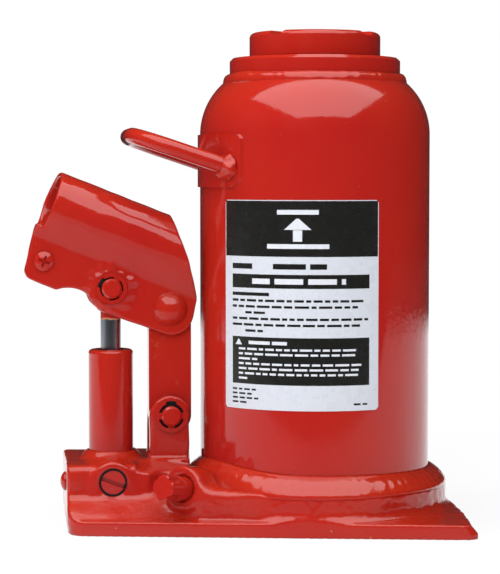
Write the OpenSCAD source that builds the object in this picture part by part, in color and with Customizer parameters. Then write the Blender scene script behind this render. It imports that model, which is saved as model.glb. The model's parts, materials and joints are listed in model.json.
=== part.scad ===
// Welded hydraulic bottle jack with a lever pump, an extension screw and a side release valve.
// Millimetres. Origin: the ram's axis at the underside of the base. +Z up, the pump lies towards -X,
// the label and the slotted plug face -Y.

/* [Reservoir] */
// Outside diameter of the reservoir tube
reservoir_od = 114.3; // [110:0.1:116]
// Wall thickness of the reservoir tube
reservoir_wall = 3.5; // [2.5:0.1:4.5]
// Height at which the domed shoulder starts
shoulder_z = 191; // [188:0.5:193]
// Radius of the domed shoulder
shoulder_r = 34; // [33:0.5:35]
// Overall closed height, to the top of the saddle
closed_h = 241.3; // [240:0.1:246]

/* [Base] */
// Distance from the ram axis to the plate's pump end
plate_left = 124.5; // [122:0.5:130]
// Distance from the ram axis to the middle of the plate's other end
plate_right = 68.7; // [68:0.1:74]
// Half width of the plate at the pump end
plate_half_left = 45; // [44.5:0.5:47]
// Half width of the plate at the other end
plate_half_right = 78.8; // [78:0.2:82]
// Thickness of the plate at its edge
plate_edge = 7; // [6:0.5:8]
// Radius of the round seat under the reservoir
seat_r = 65.75; // [65:0.25:67]
// Height of the round seat
seat_h = 20; // [19:0.5:21]
// Height of the pump block
block_h = 31.5; // [31:0.5:33]

/* [Lift] */
// Bore of the pressure cylinder
cylinder_bore = 60; // [60:0.5:61]
// Outside diameter of the pressure cylinder
cylinder_od = 76; // [75:0.5:77]
// Diameter of the ram
ram_d = 50; // [48:0.5:52]
// Diameter of the extension screw
screw_d = 36; // [34:0.5:37]
// Diameter of the top collar
collar_d = 84.7; // [84:0.1:86]
// Height of the collar's top face
collar_top = 228.7; // [228:0.1:230]
// Diameter of the saddle
saddle_d = 65; // [62:0.5:68]

/* [Pump and linkage] */
// Distance from the ram axis to the pump axis
pump_x = 102; // [101:0.5:103]
// Outside diameter of the pump cylinder
pump_od = 22; // [21:0.5:23]
// Height of the pump cylinder's top
pump_top = 85; // [83:0.5:86]
// Diameter of the pump plunger
plunger_d = 10; // [9.5:0.1:10.5]
// Distance from the ram axis to the link's two pivots
link_x = 73; // [72.5:0.5:73.5]
// Height of the link's lower pivot
link_low_z = 52.6; // [52:0.1:54]
// Height of the handle socket's pivot
pivot_z = 105; // [104:0.5:106]
// Width of the link and of its lugs
link_w = 21; // [20:0.5:21.5]
// Thickness of the link
link_t = 9.8; // [9:0.1:9.8]
// Diameter of the linkage pins
pin_d = 9.8; // [9:0.1:10]

/* [Handle socket] */
// Outside diameter of the socket tube
socket_od = 31.5; // [31:0.1:32]
// Inside diameter of the socket tube
socket_id = 26.5; // [26:0.1:27]
// Slope of the socket tube, mouth up
socket_slope = 21.6; // [20:0.1:23]
// Length of the socket tube
socket_len = 57; // [55:0.5:58]

/* [Release valve] */
// Diameter of the release screw
release_d = 12; // [11.5:0.1:12.5]
// How far the release screw stands out of its boss
release_out = 15.7; // [14:0.1:18]
// Direction of the release screw, degrees from the front towards the pump
release_yaw = 40; // [38:1:42]
// Rise of the release screw out of its boss, degrees
release_rise = 9; // [8:0.5:10]

/* [Carry handle] */
// Diameter of the carry handle's bar
bar_d = 8; // [7:0.5:9]
// Rise of the carry handle, degrees above level
bar_rise = 18.6; // [15:0.1:21]
// Distance from the ram axis to the carry handle's outer end
bar_reach = 92; // [90:0.5:95]

/* [Hidden] */
$fn = 64;

paint = "#b92a22";
steel = "#8a8e94";
rubber = "#1b1b1d";
brass = "#b08d4a";

run = 0.05;                                 // radial clearance of a running fit
snug = 0.02;                                // radial clearance of parts that don't move
tube_r = reservoir_od / 2;
tube_in = tube_r - reservoir_wall;
collar_r = collar_d / 2;
ram_r = ram_d / 2;
screw_r = screw_d / 2;
bore_r = cylinder_bore / 2;
bead_r = 64.75;                             // widest radius of the lower weld
spigot_h = seat_h + 4;                      // top of the step that centres the reservoir tube
well_z = 15;                                // floor of the pressure cylinder's seat
cylinder_z = well_z + 1;                    // underside of the pressure cylinder
cylinder_top = 212;
block_face = 31.5;                          // half width of the pump block
waist_y = 24;                               // half width of its waist
neck_z = 198;                               // start of the cylinder's threaded neck
neck_r = 36;
sleeve_z = 190;                             // lower end of the collar's guide sleeve
saddle_gap = 0.15;                          // air gap under the saddle
bar_at = [-46, 0, 174.5];                   // foot of the carry handle's legs, midway between them
bar_y = 34;                                 // half the distance between the legs
strap_half = 40.2;

pump_r = pump_od / 2;
socket_z = 28;                              // floor of the pump cylinder's seat
plunger_r = plunger_d / 2;
plunger_z = 46;                             // plunger's lower end at rest
pin_r = pin_d / 2;
eye_t = 10;                                 // thickness of the plunger's eye
gap_half = 5.1;                             // half the gap between the socket's ears
ear_t = 3;
ear_y = gap_half + ear_t;
boss_y = ear_y + 1.4;                       // face of the raised boss round the plunger pin
lug_t = 6;
lug_in = link_t / 2 + 0.1;
lug_y = lug_in + lug_t;
clip_t = 1.3;

pivot = [-link_x, pivot_z];                 // handle socket's pivot in the XZ plane
plunger_pin_at = pivot + [-29, 10.5];
clamp_at = pivot + [-61.8, 24];
mouth_at = pivot + [-58.9, 52.9];           // centre of the socket tube's mouth

relief_at = [-pump_x - 0.8, 23.2];           // relief valve's axis in the XZ plane
return_at = [-plate_left, -16, 22];         // mouth of the return line, at the pump end
strainer_at = [-43.5, 22.5, 0];             // suction strainer in the reservoir's floor
discharge_z = 8.6;                          // seat of the discharge ball
release_at = [-70.8, -43, 21.4];            // centre of the release boss's face
release_seat = 17;                          // depth of the release ball's seat below that face

// ---------- shapes that repeat ----------

function unit(v) = v / norm(v);

// Points of an arc that rounds corner b of the path a-b-c to radius r.
function rounded_corner(a, b, c, r, steps = 7) =
    r <= 0 ? [b] :
    let (u = unit(a - b), v = unit(c - b), half = acos(u * v) / 2)
    let (m = b + unit(u + v) * r / sin(half), s = b + u * r / tan(half) - m)
    let (from = atan2(s[1], s[0]), turn = 180 - 2 * half, side = sign(u[1] * v[0] - u[0] * v[1]))
    [for (i = [0:steps]) m + r * [cos(from + side * turn * i / steps), sin(from + side * turn * i / steps)]];

// Outline from corners [x, y, radius].
function rounded(c) = let (n = len(c))
    [for (i = [0:n - 1])
        let (a = c[(i + n - 1) % n], b = c[i], d = c[(i + 1) % n])
        each rounded_corner([a[0], a[1]], [b[0], b[1]], [d[0], d[1]], b[2])];

// A closed outline from one half of its corners and their mirror image.
function mirrored(half) = concat(half,
    [for (i = [len(half) - 1:-1:0]) [-half[i][0], half[i][1], half[i][2]]]);

function mirrored_y(half) = concat(half,
    [for (i = [len(half) - 1:-1:0]) [half[i][0], -half[i][1], half[i][2]]]);

module ring(r_out, r_in, z0, z1) {
    translate([0, 0, z0])
        difference() {
            cylinder(r = r_out, h = z1 - z0);
            translate([0, 0, -1]) cylinder(r = r_in, h = z1 - z0 + 2);
        }
}

module rod(r, z0, z1) { translate([0, 0, z0]) cylinder(r = r, h = z1 - z0); }

// A rod along Y at point p of the XZ plane.
module cross_rod(p, r, y0, y1) {
    translate([p[0], y0, p[1]]) rotate([-90, 0, 0]) cylinder(r = r, h = y1 - y0);
}

// A round drilling from point a to point b.
module drilling(a, b, r) {
    v = b - a;
    translate(a)
        rotate([0, acos(v[2] / norm(v)), atan2(v[1], v[0])]) cylinder(r = r, h = norm(v));
}

// A plate standing in the XZ plane between y0 and y1.
module upright(points, y0, y1) {
    translate([0, y1, 0]) rotate([90, 0, 0]) linear_extrude(y1 - y0) polygon(points);
}

module on_both_sides() {
    children();
    mirror([0, 1, 0]) children();
}

module spun(corners) { rotate_extrude() polygon(rounded(corners)); }

// Places children with +Z along the release screw, pointing out of its boss.
module at_release() {
    translate(release_at) rotate([0, 0, 270 - release_yaw]) rotate([0, 90 - release_rise, 0]) children();
}

// Point on the release screw's axis at a depth below the boss's face.
function at_depth(d) = release_at
    + d * [sin(release_yaw) * cos(release_rise), cos(release_yaw) * cos(release_rise), -sin(release_rise)];

// Places children with +Z along the socket tube, from the rear towards the mouth.
module at_socket() { translate([mouth_at[0], 0, mouth_at[1]]) rotate([0, socket_slope - 90, 0]) children(); }

// A closed coil of round wire standing on z = 0.
module coil(mean_r, wire_r, height, turns) {
    steps = turns * 14;
    sides = 8;
    function at(i) = [mean_r * cos(360 * i / 14), mean_r * sin(360 * i / 14),
        wire_r + (height - 2 * wire_r) * i / steps];
    points = [for (i = [0:steps], k = [0:sides - 1])
        at(i) + wire_r * [cos(360 * k / sides) * cos(360 * i / 14), cos(360 * k / sides) * sin(360 * i / 14),
            sin(360 * k / sides)]];
    walls = [for (i = [0:steps - 1], k = [0:sides - 1])
        let (a = i * sides + k, b = i * sides + (k + 1) % sides)
            each [[a, b, b + sides], [a, b + sides, a + sides]]];
    ends = [[for (k = [sides - 1:-1:0]) k], [for (k = [0:sides - 1]) steps * sides + k]];
    polyhedron(points, concat(walls, ends));
}

// Snap ring with three inward prongs and an opening that faces angle open_at.
module snap_ring(r_out, r_groove, open_at) {
    r_gap = r_out - 1.9;
    difference() {
        cylinder(r = r_out, h = clip_t);
        difference() {
            translate([0, 0, -1]) cylinder(r = r_gap, h = clip_t + 2);
            for (a = [-90, 0, 90])
                rotate([0, 0, open_at + 180 + a])
                    translate([0, -1.6, -1]) cube([r_gap + 1, 3.2, clip_t + 2]);
        }
        translate([0, 0, -1]) cylinder(r = r_groove + snug, h = clip_t + 2);
        rotate([0, 0, open_at]) translate([0, -2.6, -1]) cube([r_out + 1, 5.2, clip_t + 2]);
    }
}

// Two snap rings on a cross pin at p, their outer faces at y_face + clip_t from the middle.
module clip_pair(p, y_face, r_out, open_at) {
    on_both_sides()
        translate([p[0], -y_face - 0.05, p[1]]) rotate([90, 0, 0]) snap_ring(r_out, pin_r - 0.8, open_at);
}

// Cross pin with a snap ring groove and a chamfer at each end.
module clipped_pin(p, y_face, y_end) {
    translate([p[0], 0, p[1]])
        rotate([90, 0, 0])
            difference() {
                union() {
                    rod(pin_r, -y_end + 1, y_end - 1);
                    translate([0, 0, y_end - 1]) cylinder(r1 = pin_r, r2 = pin_r - 1, h = 1);
                    translate([0, 0, -y_end]) cylinder(r1 = pin_r - 1, r2 = pin_r, h = 1);
                }
                for (z = [y_face, -y_face - clip_t - 0.1])
                    ring(pin_r + 1, pin_r - 0.8, z, z + clip_t + 0.1);
            }
}

// ---------- base and reservoir ----------

module plate_outline() {
    end = [for (i = [-8:8]) let (y = plate_half_right * i / 8)
        [plate_right - y * y / 1080, y, abs(i) == 8 ? 4 : 0]];
    polygon(rounded(concat([[-plate_left, plate_half_left, 9], [-plate_left, -plate_half_left, 9]], end)));
}

// Bar along X with a section given by half its corners, kept within half a plan.
module shaped_bar(half_section, half_plan) {
    end = [-plate_left - 0.5, -plate_half_left, 9];
    intersection() {
        translate([end[0], 0, 0])
            rotate([90, 0, 90]) linear_extrude(80) polygon(rounded(mirrored(half_section)));
        linear_extrude(block_h) polygon(rounded(mirrored_y(concat([end], half_plan))));
    }
}

// Block under the pump. It narrows to a waist behind the release screw, and its sides run out to the
// plate in one even ramp.
module pump_block() {
    ramp_foot = [plate_half_left, plate_edge];
    ramp_end = [block_face, 16.5];
    waist = ramp_end + (ramp_end - ramp_foot) * (block_face - waist_y) / (plate_half_left - block_face);
    foot = [[ramp_foot[0], plate_edge - 3, 0], [ramp_foot[0], ramp_foot[1], 0]];
    difference() {
        union() {
            shaped_bar(concat(foot, [[ramp_end[0], ramp_end[1], 4], [block_face - 1, block_h, 3.5]]), [
                [-86, -plate_half_left - 5, 0], [-86, -block_face, 0],
                [-77, -waist_y, 3], [-60, -waist_y, 0]]);
            shaped_bar(concat(foot, [[waist[0], waist[1], 3], [waist_y - 1, block_h, 3.5]]),
                [[-40, -plate_half_left - 16, 0]]);
        }
        // the top falls away towards the release valve
        translate([-91, -13, block_h]) rotate([11, 6.5, 0]) translate([0, -40, 0]) cube([60, 40, 16]);
    }
}

// Web that carries the release boss into the flank of the round seat.
module release_web() {
    difference() {
        linear_extrude(24) polygon([
            [-62.5, -50], [-48, -52.9], [-30, -58.8], [-34, -44], [-62, -28], [-70, -28], [-74.4, -40]]);
        translate([-62.5, -50, 22.5]) rotate([0, 4.3, -15]) translate([-20, -10, 0]) cube([70, 50, 10]);
    }
}

// Arched pad round the relief valve's plug.
module valve_pad() {
    arch_r = 11;
    foot = 17.5;
    centre = [relief_at[0], relief_at[1] - 1];
    cross_rod(centre, arch_r, -32, 0);
    upright([centre + [-arch_r, 0], centre + [arch_r, 0], [centre[0] + arch_r + 3, foot],
        [centre[0] - arch_r - 1, foot]], -32, 0);
}

module link_lugs() {
    half = link_w / 2;
    on_both_sides() {
        translate([-link_x - half, -lug_y, 28]) cube([link_w, lug_t, link_low_z - 28.7]);
        cross_rod([-link_x, link_low_z - 0.7], half, -lug_y, -lug_in);
    }
}

module base_body() {
    linear_extrude(plate_edge) plate_outline();
    intersection() {
        linear_extrude(plate_edge + 3) plate_outline();
        translate([0, 0, plate_edge - 0.5]) cylinder(r1 = seat_r + 3, r2 = seat_r, h = 3.5);
    }
    rod(seat_r, 0, seat_h - 1);
    translate([0, 0, seat_h - 1]) cylinder(r1 = seat_r, r2 = seat_r - 1, h = 1);
    difference() {
        union() {
            pump_block();
            valve_pad();
            translate([-pump_x, 0, block_h - 1]) cylinder(r1 = pump_r + 5.5, r2 = pump_r + 1, h = 5);
            at_release() rod(11, -26, 0);
            release_web();
            link_lugs();
        }
        rod(bead_r + 0.1, seat_h, 60);
    }
    rod(tube_in - run, 0, spigot_h);
}

module base_drillings() {
    rod(cylinder_od / 2 + run, well_z, 60);
    // pump cylinder seat and the suction valve's chamber below it
    translate([-pump_x, 0, 0]) rod(pump_r + run, socket_z, 60);
    translate([-pump_x, 0, 0]) rod(3.6, 12, socket_z + 1);
    // suction line from the reservoir floor
    drilling([-pump_x, 0, 6], [-pump_x, 0, 13], 1.8);
    drilling([-pump_x, 0, 9], strainer_at + [0, 0, 9], 1.4);
    drilling(strainer_at + [0, 0, 6], strainer_at + [0, 0, 30], 1.8);
    // discharge line to the lift cylinder
    drilling([-pump_x, 0, 17.8], [-20, 0, 5.5], 1.5);
    drilling([-20, 0, 3.5], [-20, 0, discharge_z + 0.5], 1.3);
    drilling([-20, 0, discharge_z], [-20, 0, 30], 3);
    // relief valve
    cross_rod(relief_at, 6.55, -40, -30.6);
    cross_rod(relief_at, 5.8, -40, -20);
    cross_rod(relief_at, 3.4, -40, -9);
    cross_rod(relief_at, 1.5, -10, 0);
    // return line, closed by the domed plug
    drilling(return_at - [9, 0, 0], return_at + [7, 0, 0], 3.62);
    drilling(return_at, [-48, -16, 16.3], 2);
    drilling([-49.5, -16, 16.5], [-49.5, -16, 30], 1.3);
    drilling(at_depth(13.5), [-64, -16, 17.3], 1.2);
    // release valve
    at_release() {
        rod(release_d / 2 + run, -12, 10);
        rod(3.3, -release_seat, 0);
        rod(1.5, -release_seat - 1, 0);
    }
    below_seat = at_depth(release_seat + 0.6);
    inward = -unit([below_seat[0], below_seat[1], 0]);
    elbow = [below_seat[0], below_seat[1], 9];
    under_well = [-27 * inward[0], -27 * inward[1], 9];
    drilling(elbow - [0, 0, 2], below_seat, 1.2);
    drilling(elbow - 2.5 * inward, under_well + 2.5 * inward, 1.35);
    drilling(under_well - [0, 0, 2.5], under_well + [0, 0, 20], 1.5);
    // lower link pin
    cross_rod([-link_x, link_low_z], pin_r + snug, -20, 20);
}

module base() {
    color(paint)
        difference() {
            base_body();
            base_drillings();
        }
}

module dome_profile(r, shoulder) {
    translate([0, seat_h]) square([r, shoulder_z - seat_h]);
    intersection() {
        translate([r - shoulder, shoulder_z]) circle(shoulder);
        translate([0, shoulder_z - 0.01]) square([r + 1, shoulder + 1]);
    }
}

module reservoir_tube() {
    color(paint)
        difference() {
            rotate_extrude()
                difference() {
                    dome_profile(tube_r, shoulder_r);
                    dome_profile(tube_in, shoulder_r - reservoir_wall);
                    square([collar_r + run, closed_h]);
                }
            translate([0, 0, 165]) rotate([0, 90, 62]) cylinder(r = 5, h = tube_r + 5);
        }
}

module base_weld_bead() {
    color(paint)
        spun([[tube_r + snug, seat_h, 0], [bead_r - 0.6, seat_h, 0], [bead_r, seat_h + 2, 1.5],
            [62.8, seat_h + 6.2, 3], [tube_r + snug, seat_h + 8.5, 0]]);
}

module top_weld_bead() {
    color(paint)
        difference() {
            spun([[collar_r + snug, 214, 0], [45.5, 214, 0], [46.2, 218.6, 1.2], [45, 222, 1.8],
                [collar_r + snug, 222.8, 0]]);
            rotate_extrude() dome_profile(tube_r + snug, shoulder_r + snug);
        }
}

module top_collar() {
    color(paint)
        difference() {
            union() {
                rod(collar_r, neck_z, collar_top - 1.5);
                translate([0, 0, collar_top - 1.5]) cylinder(r1 = collar_r, r2 = collar_r - 1.5, h = 1.5);
                rod(bore_r - run, sleeve_z, neck_z + 1);
            }
            difference() {
                rod(neck_r, neck_z - 1, cylinder_top);
                rod(bore_r - run, neck_z - 2, cylinder_top + 1);
            }
            rod(ram_r + run, 0, closed_h);
            ring(ram_r + 3.5, ram_r - 1, 204, 209);
            ring(ram_r + 2.6, ram_r - 1, collar_top - 4, closed_h);
        }
}

module ram_rod_seal() { color(rubber) ring(ram_r + 3.5 - snug, ram_r + 0.03, 204 + snug, 209 - snug); }

module ram_wiper() { color(rubber) ring(ram_r + 2.6 - snug, ram_r + 0.03, collar_top - 4, collar_top - 0.3); }

module pressure_cylinder() {
    color(steel)
        difference() {
            union() {
                rod(cylinder_od / 2, cylinder_z, neck_z);
                rod(neck_r - snug, cylinder_z, cylinder_top);
            }
            rod(bore_r, 0, closed_h);
        }
}

module cylinder_gasket() { color("#c07a46") ring(cylinder_od / 2 - 0.1, bore_r + 0.5, well_z, cylinder_z); }

module label() {
    color("#d4d5dc")
        translate([0, 0, 59.2])
            rotate([0, 0, -147])
                rotate_extrude(angle = 80.3, $fn = 128) translate([tube_r + snug, 0]) square([0.2, 100]);
}

module filler_plug() {
    color(rubber)
        translate([0, 0, 165])
            rotate([0, 90, 62]) {
                rod(5 - run, tube_in - 3, tube_r);
                rod(6.2, tube_in - 5, tube_in - 1.6);
                intersection() {
                    rod(9, tube_r - 3, tube_r + 2.6);
                    difference() {
                        translate([0, 0, tube_r - 10]) sphere(15);
                        rotate([0, -90, 0]) translate([0, 0, -20]) cylinder(r = tube_r + snug, h = 40);
                    }
                }
            }
}

// Places children at the carry handle's foot with +X along its legs, away from the reservoir.
module at_bar() { translate(bar_at) rotate([0, bar_rise - 180, 0]) children(); }

module carry_handle() {
    reach = (bar_reach + bar_at[0]) / cos(bar_rise);
    bend = 20;
    color(paint)
        difference() {
            at_bar() {
                on_both_sides() {
                    translate([-6, bar_y, 0]) rotate([0, 90, 0]) cylinder(d = bar_d, h = reach - bend + 6);
                    translate([reach - bend, bar_y - bend, 0])
                        rotate_extrude(angle = 90) translate([bend, 0]) circle(d = bar_d);
                }
                translate([reach, bend - bar_y, 0])
                    rotate([-90, 0, 0]) cylinder(d = bar_d, h = 2 * (bar_y - bend));
            }
            rod(tube_r + 1.2 + snug, 100, closed_h);
        }
}

module handle_strap() {
    color(paint)
        intersection() {
            ring(tube_r + 1.2, tube_r + snug, 165, 191);
            rotate([90, 0, -90]) linear_extrude(80) polygon(rounded([
                [-strap_half, 165, 6], [strap_half, 165, 6],
                [strap_half, 190.8, 3], [-strap_half, 190.8, 3]]));
        }
}

module handle_welds() {
    color(paint)
        on_both_sides()
            difference() {
                at_bar() translate([0.6, bar_y, 0]) sphere(6.4);
                rod(tube_r + 1.2 + snug, 100, closed_h);
                at_bar() translate([-8, bar_y, 0]) rotate([0, 90, 0]) cylinder(r = bar_d / 2 + snug, h = 30);
            }
}

// ---------- pump ----------

module pump_cylinder() {
    color(paint)
        translate([-pump_x, 0, 0])
            difference() {
                spun([[0, socket_z + 1, 0], [pump_r, socket_z + 1, 0],
                    [pump_r, pump_top, 1.8], [0, pump_top, 0]]);
                rod(plunger_r + 0.04, 0, closed_h);
                rod(plunger_r + 1.7, pump_top - 2.4, closed_h);
            }
}

module pump_cylinder_gasket() {
    color("#c07a46") translate([-pump_x, 0, 0]) ring(pump_r, plunger_r + 0.6, socket_z, socket_z + 1);
}

module pump_plunger() {
    p = plunger_pin_at;
    half = eye_t / 2;
    play = 1.6;                             // the eye's slot lets the pin cross the plunger's axis
    color(steel)
        difference() {
            union() {
                translate([-pump_x, 0, 0]) rod(plunger_r, plunger_z, p[1] - 7);
                cross_rod(p, 10, -half, half);
            }
            translate([-pump_x, 0, 0]) ring(plunger_r + 1, 3.9, plunger_z + 2, plunger_z + 4.4);
            for (dx = [-play, play])
                cross_rod(p + [dx, 0], pin_r + 0.5, -20, 20);
            translate([p[0] - play, -20, p[1] - pin_r - 0.5]) cube([2 * play, 40, pin_d + 1]);
        }
}

module plunger_o_ring() {
    color(rubber)
        translate([-pump_x, 0, plunger_z + 2.75]) rotate_extrude() translate([4.45, 0]) circle(0.54);
}

module plunger_backup_ring() {
    color("#e8e4d8")
        translate([-pump_x, 0, 0]) ring(plunger_r - snug, 3.92, plunger_z + 3.4, plunger_z + 4.3);
}

module suction_ball() { color(steel) translate([-pump_x, 0, 12 + seated(3, 1.8)]) sphere(3); }

module suction_strainer() {
    color(brass)
        translate(strainer_at)
            difference() {
                union() {
                    rod(4.2, spigot_h, spigot_h + 1.2);
                    rod(1.78, spigot_h - 5, spigot_h + 1);
                }
                rod(1.1, 0, 60);
            }
}

// Height of a ball's centre above the round edge it rests on.
function seated(ball_r, edge_r) = sqrt(ball_r * ball_r - edge_r * edge_r);

module discharge_ball() { color(steel) translate([-20, 0, discharge_z + seated(1.9, 1.3)]) sphere(1.9); }

module discharge_spring() { color(steel) translate([-20, 0, 11.54]) coil(1.2, 0.25, 2.04, 1.5); }

module discharge_retainer() { color(steel) translate([-20, 0, 0]) ring(3 - snug, 1, 13.6, 15); }

module relief_plug() {
    color(paint)
        difference() {
            cross_rod(relief_at, 5.76, -31.8, -26.2);
            translate([relief_at[0], -31.8, relief_at[1]])
                rotate([0, 21, 0]) cube([14, 3.6, 1.9], center = true);
        }
}

module relief_plug_seal() {
    color(rubber)
        difference() {
            cross_rod(relief_at, 6.53, -31.9, -30.62);
            cross_rod(relief_at, 5.78, -40, 0);
        }
}

module relief_screw() {
    color(steel)
        difference() {
            cross_rod(relief_at, 5.76, -25, -20.02);
            cross_rod(relief_at, 2.9, -26, -22.6, $fn = 6);
        }
}

module relief_spring() {
    color(steel) translate([relief_at[0], -19.98, relief_at[1]]) rotate([-90, 0, 0]) coil(1.9, 0.4, 5.6, 4);
}

module relief_ball() {
    color(steel) translate([relief_at[0], -9 - seated(2.5, 1.5), relief_at[1]]) sphere(2.5);
}

module passage_plug() {
    color(paint)
        translate(return_at - [0.5, 0, 0])
            rotate([0, -90, 0]) {
                rod(3.6, -7, 0);
                intersection() {
                    rod(4.6, 0, 3);
                    translate([0, 0, 2.7 - 6.5]) sphere(6.5);
                }
            }
}

// ---------- release valve ----------

module release_screw() {
    r = release_d / 2;
    color(paint)
        at_release()
            difference() {
                union() {
                    rod(r, -11.5, release_out - 0.6);
                    translate([0, 0, release_out - 0.6]) cylinder(r1 = r, r2 = r - 0.6, h = 0.6);
                    rod(2.2, -12.4, -11);
                }
                for (a = [45:90:315])
                    rotate([0, 0, a]) translate([r + 1.6, 0, release_out - 7]) cylinder(r = 2.6, h = 10);
                ring(r + 1, r - 1.5, -9.4, -6.8);
            }
}

module release_o_ring() {
    color(rubber) at_release() translate([0, 0, -8.1]) rotate_extrude() translate([5.24, 0]) circle(0.72);
}

module release_ball() {
    color(steel) translate(at_depth(release_seat - seated(2.5, 1.5) - snug)) sphere(2.5);
}

// ---------- linkage ----------

module link_lower_pin() { color(paint) clipped_pin([-link_x, link_low_z], lug_y, lug_y + 4.2); }

module lower_pin_clips() { color(paint) clip_pair([-link_x, link_low_z], lug_y, 8.2, 90); }

module link_bar() {
    half = link_w / 2;
    t = link_t / 2;
    color(paint)
        difference() {
            union() {
                translate([-link_x - half, -t, link_low_z]) cube([link_w, link_t, pivot_z - link_low_z]);
                cross_rod([-link_x, link_low_z], half, -t, t);
                cross_rod([-link_x, pivot_z], half, -t, t);
            }
            cross_rod([-link_x, link_low_z], pin_r + run, -20, 20);
            cross_rod([-link_x, pivot_z], pin_r + run, -20, 20);
        }
}

// Side view of the socket: mouth, straight back, rounded foot round the pivot, cut-out over the pump.
module socket_outline() {
    difference() {
        polygon([for (q = rounded([
            [-54.6, 69.8, 0], [0.1, 48.1, 2], [9, 23.5, 40], [13.4, 5, 7], [8.8, -16.6, 11], [-34, -0.9, 0],
            [-54, 9, 0], [-72, 16.4, 4], [-66.8, 38.8, 0]])) pivot + q]);
        translate(pivot + [-50.5, -4.5]) circle(15.35);
    }
}

// Section across the socket: a tube whose lower sides run down into two flat ears.
module socket_section() {
    half = socket_od / 2;
    circle(half);
    polygon([for (side = [1, -1], q = [[-half / 2, half * 0.866], [-18, ear_y], [-48, ear_y]])
        side > 0 ? q : [q[0], -q[1]]], [[0, 1, 2, 5, 4, 3]]);
}

module handle_socket() {
    color(paint)
        difference() {
            union() {
                intersection() {
                    at_socket() translate([0, 0, -100]) linear_extrude(115) socket_section();
                    translate([0, 25, 0]) rotate([90, 0, 0]) linear_extrude(50) socket_outline();
                }
                on_both_sides()
                    translate([plunger_pin_at[0], -ear_y + 0.5, plunger_pin_at[1]]) rotate([90, 0, 0])
                    cylinder(r1 = 13.5, r2 = 9.5, h = boss_y - ear_y + 0.5);
            }
            // slightly oblique mouth
            at_socket() rotate([7, 0, 0]) translate([0.8 - socket_id / 2, -40, 0]) cube([40, 80, 20]);
            at_socket() rod(socket_id / 2, -socket_len + 6, 25);
            at_socket() translate([-70, -gap_half, -100]) cube([70 - socket_id / 2 + 1, 2 * gap_half, 130]);
            cross_rod(pivot, pin_r + snug, -20, 20);
            cross_rod(plunger_pin_at, pin_r + snug, -20, 20);
            cross_rod(clamp_at, 3.1, -20, 20);
        }
}

module link_upper_rivet() {
    head = 4.8;                             // height of the domed head
    head_r = 8.5;
    ball_r = (head_r * head_r + head * head) / (2 * head);
    color(paint) {
        cross_rod(pivot, pin_r, -ear_y, ear_y);
        on_both_sides()
            intersection() {
                translate([pivot[0], -ear_y - head + ball_r, pivot[1]]) sphere(ball_r);
                cross_rod(pivot, 12, -ear_y - head - 1, -ear_y);
            }
    }
}

module plunger_pin() { color(paint) clipped_pin(plunger_pin_at, boss_y, boss_y + 3.4); }

module plunger_pin_clips() { color(paint) clip_pair(plunger_pin_at, boss_y, 7.6, 150); }

module clamp_screw() {
    color(paint)
        difference() {
            union() {
                cross_rod(clamp_at, 3, -ear_y - 0.5, 13.2);
                intersection() {
                    cross_rod(clamp_at, 4.75, -ear_y - 2.8, -ear_y);
                    translate([clamp_at[0], -ear_y - 2.8 + 7.5, clamp_at[1]]) sphere(7.5);
                }
            }
            for (a = [20, 110])
                translate([clamp_at[0], -ear_y - 2.8, clamp_at[1]])
                    rotate([0, a, 0]) cube([5.6, 3, 1.1], center = true);
        }
}

module clamp_nut() {
    color(paint)
        difference() {
            cross_rod(clamp_at, 5.77, ear_y, ear_y + 4.6, $fn = 6);
            cross_rod(clamp_at, 3 + snug, 0, 30);
        }
}

// ---------- ram ----------

module ram() {
    relief_z = 176;                         // the bore is wider below this height
    color(steel)
        difference() {
            union() {
                rod(ram_r, 38, collar_top - 0.3);
                rod(20, 17.6, 39);
            }
            rod(screw_r + 0.06, 98, closed_h);
            rod(screw_r + 1.6, 98, relief_z);
            ring(21, 18.6, 18.6, 20);
        }
}

module ram_piston() { color("#a77b3c") ring(bore_r - run, 20 + snug, 28, 38); }

module ram_cup_seal() {
    color(rubber)
        rotate_extrude()
            polygon([[20.02, 21.5], [28.6, 21.5], [29, 22.6], [29.95, 21.9], [29.95, 28], [20.02, 28]]);
}

module seal_washer() { color(steel) ring(27.6, 20 + snug, 20, 21.5); }

module piston_retaining_ring() {
    color(steel)
        difference() {
            ring(22.4, 18.62, 18.7, 20);
            translate([0, -2.5, 17]) cube([30, 5, 5]);
        }
}

module screw_stop_ring() {
    color(steel)
        difference() {
            ring(screw_r + 1.4, screw_r - 1.5 + snug, 102, 103.6);
            translate([0, -2, 100]) cube([30, 4, 5]);
        }
}

module extension_screw() {
    color(steel)
        difference() {
            rod(screw_r, 100, collar_top + 4);
            ring(screw_r + 1, screw_r - 1.5, 101.95, 103.65);
        }
}

// Round load head with two crossed grooves in its top.
module saddle() {
    r = saddle_d / 2;
    z = collar_top + saddle_gap;
    groove = [[-5.5, 1, 0], [-2.6, -2.2, 1], [2.6, -2.2, 1], [5.5, 1, 0]];
    color(paint)
        difference() {
            spun([[0, z, 0], [r - 0.8, z, 0], [r, z + 0.8, 0], [r, closed_h, 2.6], [0, closed_h, 0]]);
            rod(screw_r + snug, 0, collar_top + 4);
            for (a = [45, 135])
                translate([0, 0, closed_h])
                    rotate([90, 0, a]) linear_extrude(saddle_d + 10, center = true) polygon(rounded(groove));
        }
}

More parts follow.
